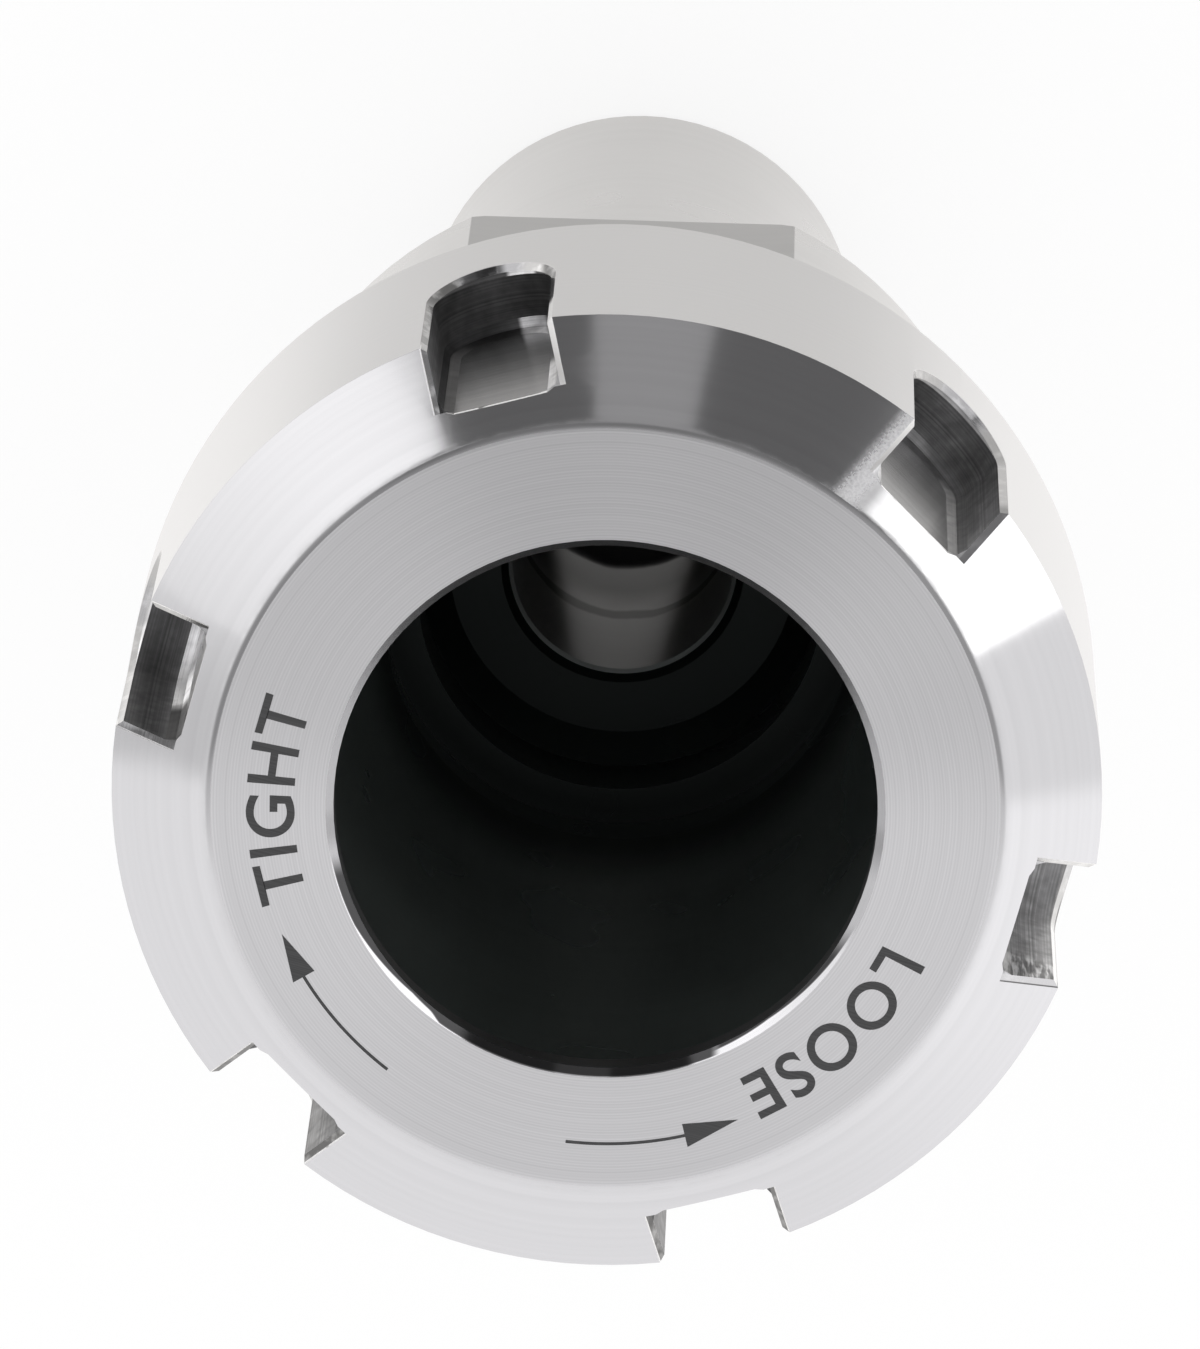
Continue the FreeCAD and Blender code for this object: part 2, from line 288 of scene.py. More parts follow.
def body_material(finish):
    """Ground shank, turned collar, milled flats, and a taper in painted shade, with bored holes
    that have a painted sheen.
    """
    material, tree = new_material("ground_steel_satin")
    place = Place(tree)
    flat = tree.both(tree.step(tree.math("ABSOLUTE", place.y), FLAT_Y - 0.03, FLAT_Y - 0.01),
                     tree.step(place.z, FLAT_TOP + 0.02, FLAT_TOP - 0.02),
                     tree.step(place.radius, NUT_RADIUS, THREAD_CREST_RADIUS - 0.01))
    in_head = tree.step(place.z, COLLAR_FOOT + 0.4, COLLAR_FOOT + 0.5)
    hollow_limit = tree.spread(in_head, HOLLOW_LIMIT[1] - HOLLOW_LIMIT[0], HOLLOW_LIMIT[0])
    inside = tree.both(tree.math("LESS_THAN", place.radius, hollow_limit),
                       tree.step(place.z, 0.7, 0.9))
    bore = tree.both(tree.math("LESS_THAN", place.radius, BORE_RADIUS + 0.2), inside)

    fine = tree.lines(place.along_turning, 0.09, 3.0)
    coarse = tree.lines(place.along_turning, 1.3)
    milled = tree.lines(tree.math("MULTIPLY_ADD", place.x, 0.12, place.z), 0.16, 3.0)
    grain = tree.mix(flat, fine, milled)
    cloud = tree.cloud(place.point, 9.0)

    # Painted shade in the hollow, darker behind the taper and on ledges that face up.
    behind_taper = tree.both(tree.step(place.z, *TAPER_DARKENS), tree.step(place.z, *STEP_FLOOR))
    hollow_shade = tree.mix(inside, 1.0, tree.mix(behind_taper, BodyTone.TAPER, BodyTone.BEHIND_TAPER))
    ledge = tree.both(inside, tree.step(tree.split(place.facing)[2], 0.4, 0.7))
    hollow_shade = tree.tone(hollow_shade, ledge, BodyTone.LEDGE)
    # The bore's painted sheen near its top, a darker ring, and painted shade deeper down that turns
    # black.
    wavy = tree.math("MULTIPLY_ADD", tree.cloud(place.point, 4.0, 1.0), 2.0, place.z)
    bore_sheen_and_shade = tree.mix(tree.band(wavy, *BORE_RING, 0.6), BodyTone.BORE, BodyTone.BORE_RING)
    bore_sheen_and_shade = tree.tone(bore_sheen_and_shade, tree.step(wavy, *BORE_FADES), BodyTone.BORE_FAR_END)
    bore_sheen_and_shade = tree.both(bore_sheen_and_shade, tree.step(wavy, *BORE_SHINE_END))

    value = tree.spread(grain, BodyTone.FINE_LINES, BodyTone.PLAIN)
    value = tree.spread(coarse, BodyTone.COARSE_LINES, value)
    value = tree.tone(value, flat, BodyTone.FLAT)
    value = tree.both(value, tree.mix(bore, hollow_shade, bore_sheen_and_shade))
    oily = tree.math("SUBTRACT", inside, bore, clamp=True)
    oil = tree.mix(oily, WHITE, BodyTone.OIL, "RGBA")
    colour = tree.vector("MULTIPLY", tree.scale(value, tuple(finish.body_colour)), oil)

    least = finish.body_roughness - BodyTone.CLOUD_ROUGHER / 2
    roughness = tree.spread(cloud, BodyTone.CLOUD_ROUGHER, least)
    roughness = tree.spread(flat, BodyTone.FLAT_ROUGHER, roughness)
    past_shine = tree.step(wavy, BORE_SHINE_END[1], BORE_SHINE_END[0])
    roughness = tree.mix(bore, roughness, tree.mix(past_shine, *BodyTone.BORE_ROUGHNESS))
    height = tree.both(grain, tree.mix(inside, *BodyTone.LINE_HEIGHT))
    groove = tree.mix(flat, place.around, (1.0, 0.0, 0.0), "VECTOR")
    metal(tree, colour, roughness, groove, height, BodyTone.ANISOTROPY)
    return material


class NutPlace(Place):
    """Where a point lies on the nut, with a mask for each part of its surface.

    The six slots are told apart by the x of their outward direction: about 0.97 for the right
    one, 0.70 for the upper right, 0.27 for the bottom one, and the same below 0 opposite.
    Limits are in millimetres, or cosines where a direction is measured.
    """

    def __init__(self, tree):
        super().__init__(tree)
        step, both = tree.step, tree.both
        self.below_top = tree.math("SUBTRACT", NUT_TOP, self.z)
        widening = FACE_CHAMFER[0] / FACE_CHAMFER[1]
        cone_radius = tree.math("MULTIPLY_ADD", self.below_top, widening, FACE_RADIUS)
        under_cone = tree.math("SUBTRACT", cone_radius, self.radius)
        under_cone = tree.math("MULTIPLY", under_cone, math.sin(CHAMFER_SLOPE))
        under_skin = tree.math("SUBTRACT", NUT_RADIUS, self.radius)
        self.depth = tree.math("MINIMUM", under_cone, under_skin)

        self.chamfer = both(step(under_cone, 0.02, 0.01),
                            step(self.radius, FACE_RADIUS + 0.02, FACE_RADIUS + 0.06),
                            step(self.radius, NUT_RADIUS - 0.005, NUT_RADIUS - 0.03))
        self.face = step(self.z, NUT_TOP - 0.01, NUT_TOP - 0.004)
        self.slot = both(step(self.depth, 0.012, 0.03),
                         step(self.radius, SLOT_FLOOR - 0.3, SLOT_FLOOR - 0.2),
                         step(self.z, NUT_BOTTOM + 0.8, NUT_BOTTOM + 0.9))
        self.rim = both(self.slot,
                        step(self.depth, SLOT_EDGE_BREAK + 0.02, SLOT_EDGE_BREAK - 0.02))
        self.near_face = tree.band(self.z, NUT_TOP - MOUTH_BEVEL, NUT_TOP - 0.012, 0.006)
        self.mouth = both(self.near_face,
                          step(self.radius, MOUTH_RADIUS + 0.7, MOUTH_RADIUS + 0.6))
        self.inside = both(step(self.radius, SLOT_FLOOR - 0.5, SLOT_FLOOR - 0.6),
                           step(under_cone, 0.15, 0.4),
                           step(self.z, NUT_TOP - MOUTH_BEVEL, NUT_TOP - MOUTH_BEVEL - 0.02))
        self.foot = both(self.chamfer, step(self.radius, 20.5, 20.1))

        turn = tree.math("ARCTAN2", self.y, self.x)
        angle = tree.math("SUBTRACT", turn, math.radians(SLOT_ANGLE))
        angle = tree.math("WRAP", angle, math.radians(30), math.radians(-30))
        self.out_of_axis = both(self.radius, tree.math("COSINE", angle))
        self.across_slot = both(self.radius, tree.math("SINE", angle))
        slot_turn = tree.math("SUBTRACT", turn, angle)
        self.slot_out = tree.join(tree.math("COSINE", slot_turn), tree.math("SINE", slot_turn),
                                  0.0)
        facing_out = tree.vector("DOT_PRODUCT", self.facing, self.slot_out, out="Value")
        facing_out = tree.math("ABSOLUTE", facing_out)
        self.floor = both(self.slot, step(facing_out, 0.93, 0.97))
        self.corner = tree.band(facing_out, 0.35, 0.94, 0.02)

        side = tree.split(self.slot_out)[0]
        self.right_slot = step(side, 0.8, 0.95)
        self.left_slot = step(side, -0.8, -0.95)
        self.top_slot = tree.band(side, -0.4, -0.1, 0.05)
        self.upper_right_slot = tree.band(side, 0.5, 0.85, 0.1)
        self.lit_slots = tree.either(self.left_slot, step(side, 0.4, 0.65))

        self.clockwise_rim = step(self.across_slot, -2.0, -2.8)
        self.fine = tree.lines(self.along_turning, 0.10, 3.0)
        self.wall_lines = tree.lines(self.out_of_axis, 0.16, 3.0)
        self.patches = tree.cloud(self.point, 0.9, 3.0)

        # Worn patches at the top and upper right slots: rougher, and painted brighter as a
        # highlight.
        top_wear_and_highlight = both(self.top_slot, step(self.across_slot, -1.8, -2.4),
                        step(self.below_top, 8.0, 6.0))
        right_wear_and_highlight = both(self.upper_right_slot, step(self.across_slot, 2.0, 2.8),
                          step(self.below_top, 6.0, 4.0))
        self.wear_and_highlight = tree.either(top_wear_and_highlight, right_wear_and_highlight)
        self.shaded = both(self.upper_right_slot, self.clockwise_rim,
                           step(self.below_top, 5.0, 3.5))
        # Burrs along the rims' outer edges and specks on the chamfer beside one slot: rougher, with
        # a painted highlight.
        burr_width = tree.mix(self.floor, 0.07, 0.25)
        burr_and_highlight = both(step(tree.math("DIVIDE", self.depth, burr_width), 1.2, 0.8),
                    tree.either(step(self.patches, 0.28, 0.42), self.left_slot),
                    step(self.below_top, 4.2, 3.0))
        self.burr_and_highlight_line = both(burr_and_highlight, tree.math("SUBTRACT", 1.0, self.shaded))
        specks = tree.spread(step(tree.cloud(self.point, 0.12, 2.0), 0.30, 0.70), 0.5, 0.5)
        self.burr_and_highlight_side = both(self.chamfer, self.upper_right_slot,
                              tree.band(self.across_slot, 3.3, 3.45, 1.0), specks)


class NutTone:
    """Shares of the nut steel's colour, and what LINES, RINGS, PATCHES, LOWER and GLINT add."""
    SKIN = 0.93
    SKIN_LINES = 0.10
    FEED_LINES = 0.05
    CHAMFER_LINES = 0.09
    FACE_LOWER = -0.085
    FACE_RINGS = 0.11
    FACE_LINES = 0.13
    # Painted shade on the upper part of the break between face and chamfer, darker on the left.
    EDGE_SHADE_LEFT = 0.66
    EDGE_SHADE_RIGHT = 0.82
    # The slots in painted shade, the right and upper right ones painted lighter, with painted shade
    # and glints in corners.
    WALL = 0.17
    RIGHT_WALL = 2.2
    UPPER_RIGHT_WALL = 1.3
    FLOOR = 0.34
    FLOOR_LINES = 0.30
    UPPER_RIGHT_FLOOR = 1.7
    CORNER_SHADE = 0.35
    LEFT_CORNER_GLEAM = 4.0
    END_CORNER_GLINT = 3.0
    UPPER_RIGHT_CORNER = 0.8
    WORN_AND_HIGHLIT_CORNER = 2.0
    CHIPS = (0.55, 1.60)
    # The rims in painted light and shade by slot, with painted glints.
    RIM = 0.20
    LIT_RIM = 0.62
    RIGHT_RIM = 0.85
    LOWER_LEFT_RIM = 0.28
    RIM_PATCHES = (0.40, 0.22)        # on the dark and on the lit slots
    END_GLINT = 0.60
    SHADED_RIM = 0.35
    RIM_LINE = 0.30
    # A painted highlight on burrs and worn patches.
    BURR_HIGHLIGHT = 1.50
    # Painted shade on the mouth's bevel above, and beside a painted gleam at the lower left and
    # right.
    UPPER_MOUTH_SHADE = 0.62
    LEFT_GLEAM = (0.14, 1.60)         # the mouth's bevel beside its gleam, and in it
    RIGHT_GLEAM = (0.12, 1.50)
    # Painted shade inside the nut.
    INSIDE_SHADE = 0.32


def turned_tone(tree, place):
    """The turned skin, the fine scratches of the chamfer and the rings of the face."""
    feed = tree.lines(place.along_turning, 0.45, 2.0)
    rings = tree.both(tree.turning(place.radius, 0.15), tree.spread(feed, 1.0, 0.30))
    uneven = tree.lines(place.radius, 0.12, 3.0)
    scratches = tree.math("SUBTRACT", tree.lines(place.along_turning, 0.14, 3.0), 0.5)
    value = tree.spread(place.fine, NutTone.SKIN_LINES, NutTone.SKIN)
    value = tree.spread(feed, NutTone.FEED_LINES, value)
    value = tree.mix(place.chamfer, value, 1.0)
    value = tree.spread(place.face, NutTone.FACE_LOWER, value)
    value = tree.spread(tree.both(place.face, rings), NutTone.FACE_RINGS, value)
    value = tree.spread(tree.both(place.face, uneven), NutTone.FACE_LINES, value)
    value = tree.spread(tree.both(place.chamfer, scratches), NutTone.CHAMFER_LINES, value)
    # Painted shade on the upper part of the break between face and chamfer, darker on the left.
    edge = tree.band(place.radius, EDGE_BREAK_RADIUS - 0.06, EDGE_BREAK_RADIUS + 0.06, 0.13)
    edge = tree.both(edge, tree.step(place.y, -5.0, 2.0))
    edge_shade = tree.mix(tree.step(place.x, 10.0, 14.0), NutTone.EDGE_SHADE_LEFT, NutTone.EDGE_SHADE_RIGHT)
    return tree.tone(value, edge, edge_shade)


def slot_tone(tree, place):
    """Milled walls, floors and corners of the slots and the chipped front of one, with painted
    shade and painted light.
    """
    # Painted shade on the slots' walls and floors, lifted by painted light on the right and upper
    # right slots.
    wall = tree.spread(tree.both(place.wall_lines, place.patches), 1.0, NutTone.WALL)
    wall = tree.tone(wall, place.right_slot, NutTone.RIGHT_WALL)
    wall = tree.tone(wall, place.upper_right_slot, NutTone.UPPER_RIGHT_WALL)
    floor = tree.spread(tree.lines(place.z, 0.5, 2.0), NutTone.FLOOR_LINES, NutTone.FLOOR)
    floor = tree.tone(floor, place.upper_right_slot, NutTone.UPPER_RIGHT_FLOOR)

    # Painted shade in the corners, with a painted gleam in the left slot and a painted glint in the
    # top one.
    gleam = tree.both(place.left_slot, tree.band(place.below_top, 9.0, 14.0, 2.5))
    corner = tree.mix(gleam, NutTone.CORNER_SHADE, NutTone.LEFT_CORNER_GLEAM)
    glint = tree.both(place.top_slot, tree.band(place.across_slot, -2.0, -0.9, 0.3),
                      tree.step(place.below_top, 11.0, 12.0))
    corner = tree.mix(glint, corner, NutTone.END_CORNER_GLINT)
    corner = tree.mix(place.upper_right_slot, corner, NutTone.UPPER_RIGHT_CORNER)
    corner = tree.mix(place.wear_and_highlight, corner, NutTone.WORN_AND_HIGHLIT_CORNER)

    stretched = tree.vector("MULTIPLY", place.point, (1.0, 0.3, 0.12))
    chips = tree.step(tree.cloud(stretched, 0.22, 2.0), 0.42, 0.62)
    chipped = tree.both(place.right_slot, tree.step(place.below_top, 7.0, 4.0))
    value = tree.mix(place.floor, wall, floor)
    value = tree.tone(value, place.corner, corner)
    return tree.tone(value, chipped, tree.mix(chips, *NutTone.CHIPS))


def rim_tone(tree, place):
    """The broken edges round the slots, with painted glints, painted light and shade by slot,
    burrs, a rim in painted shade and a lined one.
    """
    glint = tree.both(tree.step(place.patches, 0.45, 0.75),
                      tree.mix(place.lit_slots, *NutTone.RIM_PATCHES))
    end_glint = tree.both(place.top_slot, tree.band(place.across_slot, -2.4, -0.8, 0.5),
                          tree.step(place.below_top, 12.0, 13.0))
    glint = tree.spread(end_glint, NutTone.END_GLINT, glint)
    # Painted light and shade of the rims: dark on most slots, lit on the left, right and upper
    # right, dimmer low on the left.
    lower_left = tree.both(place.left_slot, tree.step(place.y, 3.1, 2.7))
    lit = tree.mix(place.right_slot, NutTone.LIT_RIM, NutTone.RIGHT_RIM)
    lit = tree.mix(lower_left, lit, NutTone.LOWER_LEFT_RIM)
    value = tree.math("ADD", glint, tree.mix(place.lit_slots, NutTone.RIM, lit))
    value = tree.mix(place.wear_and_highlight, value, NutTone.BURR_HIGHLIGHT)
    value = tree.tone(value, place.shaded, NutTone.SHADED_RIM)
    value = tree.mix(place.burr_and_highlight_line, value, NutTone.BURR_HIGHLIGHT)
    outline = tree.both(place.right_slot, place.clockwise_rim, tree.step(place.depth, 0.10, 0.06))
    return tree.mix(outline, value, NutTone.RIM_LINE)


def gleam_tone(tree, place, value, part, width, levels):
    """Paint shade on a part of the mouth's bevel, but for a painted gleam of some width beside the
    face.
    """
    from_face = tree.math("SUBTRACT", MOUTH_RADIUS + MOUTH_BEVEL, place.radius)
    gleam = tree.step(tree.math("SUBTRACT", from_face, width), 0.03, -0.03)
    return tree.tone(value, tree.both(place.mouth, part), tree.mix(gleam, *levels))


def mouth_tone(tree, place, value):
    """The bevel of the mouth: painted shade above, with a thin painted gleam at the lower left and
    right and painted shade beside it.
    """
    upper = tree.both(place.mouth, tree.step(place.y, -3.5, -1.5))
    value = tree.tone(value, upper, NutTone.UPPER_MOUTH_SHADE)
    left = tree.both(tree.step(place.y, -2.5, -4.0), tree.step(place.x, 6.2, 5.6))
    left_width = tree.spread(tree.away(place.y, -10.0), -0.07, 0.30)
    left_width = tree.both(left_width, tree.step(place.y, -11.8, -10.8))
    left_width = tree.either(left_width, 0.05)
    right = tree.both(tree.step(place.y, -5.5, -7.5), tree.step(place.x, 5.6, 6.2))
    right_width = tree.spread(tree.away(place.y, -10.8), -0.045, 0.33)
    value = gleam_tone(tree, place, value, right, right_width, NutTone.RIGHT_GLEAM)
    return gleam_tone(tree, place, value, left, left_width, NutTone.LEFT_GLEAM)


class NutFinish:
    """Roughness and line heights of the nut's parts. Heights are in millimetres."""
    WALL_ROUGHNESS = 0.45
    FLOOR_ROUGHNESS = 0.18
    RIM_ROUGHNESS = 0.14
    BURR_ROUGHNESS = 0.45
    BURR_ROUGHER = 0.35
    FOOT_ROUGHER = 0.14
    SKIN_HEIGHT = 0.0012
    FACE_HEIGHT = 0.0022
    CHAMFER_HEIGHT = 0.0002
    SLOT_HEIGHT = 0.0060
    ANISOTROPY = 0.88


def nut_roughness(tree, place, finish):
    polished = tree.either(place.chamfer, place.near_face)
    burred = tree.either(place.burr_and_highlight_line, place.wear_and_highlight)
    rim = tree.mix(burred, NutFinish.RIM_ROUGHNESS, NutFinish.BURR_ROUGHNESS)
    cut = tree.mix(place.floor, NutFinish.WALL_ROUGHNESS, NutFinish.FLOOR_ROUGHNESS)
    roughness = tree.mix(polished, finish.nut_roughness, finish.chamfer_roughness)
    roughness = tree.mix(place.slot, roughness, tree.mix(place.rim, cut, rim))
    roughness = tree.spread(place.burr_and_highlight_side, NutFinish.BURR_ROUGHER, roughness)
    dull_foot = tree.both(place.foot, tree.step(place.patches, 0.3, 0.7))
    return tree.spread(dull_foot, NutFinish.FOOT_ROUGHER, roughness)


def nut_height(tree, place):
    """Tool marks, the face's slight crown and the rounded break between face and chamfer."""
    deep = tree.mix(place.face, NutFinish.SKIN_HEIGHT, NutFinish.FACE_HEIGHT)
    deep = tree.mix(place.chamfer, deep, NutFinish.CHAMFER_HEIGHT)
    deep = tree.mix(place.slot, deep, NutFinish.SLOT_HEIGHT)
    height = tree.both(tree.mix(place.slot, place.fine, place.wall_lines), deep)
    crown = tree.math("MINIMUM", place.radius, FACE_RADIUS - FACE_EDGE_BREAK)
    height = tree.spread(crown, -FACE_CROWN, height)
    into_turn = tree.away(tree.away(place.radius, EDGE_BREAK_RADIUS), EDGE_BREAK_HALF)
    into_turn = tree.either(tree.math("SUBTRACT", EDGE_BREAK_HALF, into_turn), 0.0)
    into_turn = tree.both(into_turn, into_turn, tree.step(place.below_top, 0.4, 0.3))
    bend = math.tan(CHAMFER_SLOPE / 4) / EDGE_BREAK_HALF / 2
    return tree.spread(into_turn, -bend, height)


def nut_groove(tree, place):
    """Which way the tool marks run: round the nut, out of a slot, or along its edges."""
    along_rim = tree.vector("CROSS_PRODUCT", place.facing, place.slot_out)
    along_floor = tree.vector("CROSS_PRODUCT", place.slot_out, (0.0, 0.0, 1.0))
    cut = tree.mix(place.rim, place.slot_out, along_rim, "VECTOR")
    cut = tree.mix(place.floor, cut, along_floor, "VECTOR")
    return tree.mix(place.slot, place.around, cut, "VECTOR")


def nut_material(finish):
    """Turned face and skin, bright front chamfer, and milled spanner slots with broken edges."""
    material, tree = new_material("turned_steel_bright")
    place = NutPlace(tree)
    value = tree.mix(place.slot, turned_tone(tree, place), slot_tone(tree, place))
    value = tree.mix(place.burr_and_highlight_side, value, NutTone.BURR_HIGHLIGHT)
    value = tree.mix(place.rim, value, rim_tone(tree, place))
    value = mouth_tone(tree, place, value)
    # Painted shade on the nut's inner surfaces.
    value = tree.tone(value, place.inside, NutTone.INSIDE_SHADE)
    colour = tree.scale(value, tuple(finish.nut_colour))
    metal(tree, colour, nut_roughness(tree, place, finish), nut_groove(tree, place),
          nut_height(tree, place), NutFinish.ANISOTROPY)
    return material


def thread_material(finish):
    """Cut thread crests, a little darker than the ground steel beside them."""
    material, tree = new_material("cut_thread_steel")
    place = Place(tree)
    fine = tree.lines(place.along_turning, 0.07, 2.0)
    colour = tree.scale(tree.spread(fine, 0.12, 0.84), tuple(finish.body_colour))
    roughness = tree.spread(tree.cloud(place.point, 3.0), 0.1, 0.25)
    metal(tree, colour, roughness, place.around, tree.both(fine, 0.0015), 0.4)
    return material


def mark_material(marks):
    """Dark annealed steel of a laser mark, hatched by the beam's passes."""
    material, tree = new_material("laser_mark_grey")
    place = Place(tree)
    passes = tree.lines(tree.math("MULTIPLY_ADD", place.x, 0.25, place.y), 0.10, 1.0)
    value = tree.spread(tree.step(passes, 0.35, 0.65), 0.45, 0.75)
    bump = tree.node("ShaderNodeBump", {"Height": tree.both(passes, 0.004), "Distance": MM})
    shader = tree.node("ShaderNodeBsdfPrincipled", {
        "Base Color": tree.scale(value, tuple(marks.colour)), "Metallic": 0.0,
        "Roughness": tree.spread(passes, 0.2, 0.45), "Normal": bump.outputs["Normal"]})
    tree.node("ShaderNodeOutputMaterial", {"Surface": shader.outputs[0]})
    return material


def add_piece(name, mesh, material, body):
    """Put a finished mesh in the scene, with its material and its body."""
    piece = bpy.data.objects.new(name, mesh)
    bpy.context.scene.collection.objects.link(piece)
    mesh.materials.clear()
    mesh.materials.append(material)
    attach(piece, body)


THREAD_INPUTS = ("Pitch", "Turns", "Foot Radius", "Crest Radius", "Foot Width", "Crest Width",
                 "Foot Height")
THREAD_RESOLUTION = 96      # points in one turn
THREAD_SINK = 0.02          # how far the ridge's foot lies inside the nose
WELD = 1e-7                 # points closer than this become one, in metres


def thread_tree(material):
    """Geometry nodes that sweep a ridge along a spiral round the nose."""
    group = bpy.data.node_groups.new("thread_ridge", "GeometryNodeTree")
    sockets = group.interface
    sockets.new_socket(name="Geometry", in_out="OUTPUT", socket_type="NodeSocketGeometry")
    names = {}
    for name in THREAD_INPUTS:
        socket = sockets.new_socket(name=name, in_out="INPUT", socket_type="NodeSocketFloat")
        socket.default_value = 1.0
        names[name] = socket.identifier
    tree = Tree(group)
    given = tree.node("NodeGroupInput").outputs
    spiral = tree.node("GeometryNodeCurveSpiral", {
        "Resolution": THREAD_RESOLUTION, "Rotations": given["Turns"],
        "Start Radius": given["Foot Radius"], "End Radius": given["Foot Radius"],
        "Height": tree.both(given["Pitch"], given["Turns"])})
    upright = tree.node("GeometryNodeSetCurveNormal", {"Curve": spiral.outputs[0]}, mode="Z_UP")
    rise = tree.math("SUBTRACT", given["Crest Radius"], given["Foot Radius"])
    foot, crest = given["Foot Width"], given["Crest Width"]
    section = tree.node("GeometryNodeCurvePrimitiveQuadrilateral", mode="POINTS")
    corners = [(0.0, tree.both(foot, -0.5)), (rise, tree.both(crest, -0.5)),
               (rise, tree.both(crest, 0.5)), (0.0, tree.both(foot, 0.5))]
    for number, (out, up) in enumerate(corners, 1):
        tree.feed(section.inputs["Point %d" % number], tree.join(out, up, 0.0))
    ridge = tree.node("GeometryNodeCurveToMesh", {
        "Curve": upright.outputs[0], "Profile Curve": section.outputs[0], "Fill Caps": True})
    moved = tree.node("GeometryNodeTransform", {
        "Geometry": ridge.outputs[0], "Translation": tree.join(0.0, 0.0, given["Foot Height"])})
    flat = tree.node("GeometryNodeSetShadeSmooth", {
        "Geometry": moved.outputs[0], "Shade Smooth": False})
    real = tree.node("GeometryNodeRealizeInstances", {"Geometry": flat.outputs[0]})
    painted = tree.node("GeometryNodeSetMaterial", {
        "Geometry": real.outputs[0], "Material": material})
    tree.node("NodeGroupOutput", {0: painted.outputs[0]})
    return group, names


def plain_mesh(holder, name):
    """The evaluated mesh of an object, as a mesh of its own."""
    bpy.context.view_layer.update()
    evaluated = holder.evaluated_get(bpy.context.evaluated_depsgraph_get())
    mesh = bpy.data.meshes.new_from_object(evaluated)
    mesh.name = name
    return mesh


def ring_point(radius, degrees, height):
    """A point round the axis, given in millimetres, as a vector in metres."""
    turn = math.radians(degrees)
    return Vector((radius * math.cos(turn), radius * math.sin(turn), height)) * MM


def word_mesh(word, marks, middle_angle):
    """A word bent round the nut's axis, its letters' tops outward, as a thin closed plate."""
    curve = bpy.data.curves.new("word", "FONT")
    curve.body = word
    curve.size = 1.0
    curve.space_character = 1.12
    curve.extrude = 0.5
    curve.offset = 0.014
    holder = bpy.data.objects.new("word", curve)
    bpy.context.scene.collection.objects.link(holder)
    mesh = plain_mesh(holder, word.lower())
    bpy.data.objects.remove(holder)
    bpy.data.curves.remove(curve)
    scale = marks.cap_height / MM / CAPITAL_SHARE
    low = min(vertex.co.x for vertex in mesh.vertices)
    high = max(vertex.co.x for vertex in mesh.vertices)
    middle_radius = marks.radius / MM
    for vertex in mesh.vertices:
        along = (vertex.co.x - (low + high) / 2) * scale
        out = (vertex.co.y - CAPITAL_SHARE / 2) * scale
        height = NUT_TOP + (vertex.co.z + 0.5) * marks.thickness / MM
        angle = middle_angle - math.degrees(along / middle_radius)
        vertex.co = ring_point(middle_radius + out, angle, height)
    return mesh


def arrow_mesh(marks, tail, neck, tip):
    """A thin arc with a slim triangular head, between three angles on the nut's face."""
    half_line = marks.line_width / MM / 2
    half_head = marks.head_width / MM / 2
    angles = [tail + (neck - tail) * number / ARROW_STEPS for number in range(ARROW_STEPS + 1)]
    outline = [(ARROW_RADIUS + half_line, angle) for angle in angles]
    outline += [(ARROW_RADIUS + half_head, neck), (ARROW_RADIUS, tip),
                (ARROW_RADIUS - half_head, neck)]
    outline += [(ARROW_RADIUS - half_line, angle) for angle in reversed(angles)]
    shape = bmesh.new()
    corners = [shape.verts.new(ring_point(out, angle, NUT_TOP)) for out, angle in outline]
    last = len(corners) - 1
    for number in range(ARROW_STEPS):
        shape.faces.new((corners[number], corners[number + 1],
                         corners[last - number - 1], corners[last - number]))
    shape.faces.new(corners[ARROW_STEPS:last - ARROW_STEPS + 1])
    lid = bmesh.ops.extrude_face_region(shape, geom=shape.faces[:])["geom"]
    for vertex in (item for item in lid if isinstance(item, bmesh.types.BMVert)):
        vertex.co.z += marks.thickness
    bmesh.ops.recalc_face_normals(shape, faces=shape.faces)
    mesh = bpy.data.meshes.new("arrow")
    shape.to_mesh(mesh)
    shape.free()
    return mesh


class ChuckFinish(bpy.types.PropertyGroup):
    """Colours and gloss of the two steel pieces."""
    body_colour: FloatVectorProperty(
        name="Body steel", description="Reflected colour of the ground body",
        subtype="COLOR", size=3, min=0, max=1, default=(0.585, 0.583, 0.580))
    nut_colour: FloatVectorProperty(
        name="Nut steel", description="Reflected colour of the turned nut",
        subtype="COLOR", size=3, min=0, max=1, default=(0.600, 0.598, 0.598))
    body_roughness: FloatProperty(
        name="Body roughness", description="Roughness of the ground skin", default=0.28,
        min=0, max=1, subtype="FACTOR")
    nut_roughness: FloatProperty(
        name="Nut roughness", description="Roughness of the turned face and skin", default=0.31,
        min=0, max=1, subtype="FACTOR")
    chamfer_roughness: FloatProperty(
        name="Chamfer roughness", description="Roughness of the nut's front chamfer", default=0.12,
        min=0, max=1, subtype="FACTOR")


class ChuckThread(bpy.types.PropertyGroup):
    """The bare thread between the collar and the nut."""
    pitch: FloatProperty(
        name="Pitch", description="Distance between two crests", default=0.0015, min=0.0002,
        unit="LENGTH")
    foot_width: FloatProperty(
        name="Foot width", description="Width of the ridge at the mean diameter",
        default=0.00078, min=0, unit="LENGTH")
    crest_width: FloatProperty(
        name="Crest width", description="Width of the flat crest", default=0.00022, min=0,
        unit="LENGTH")


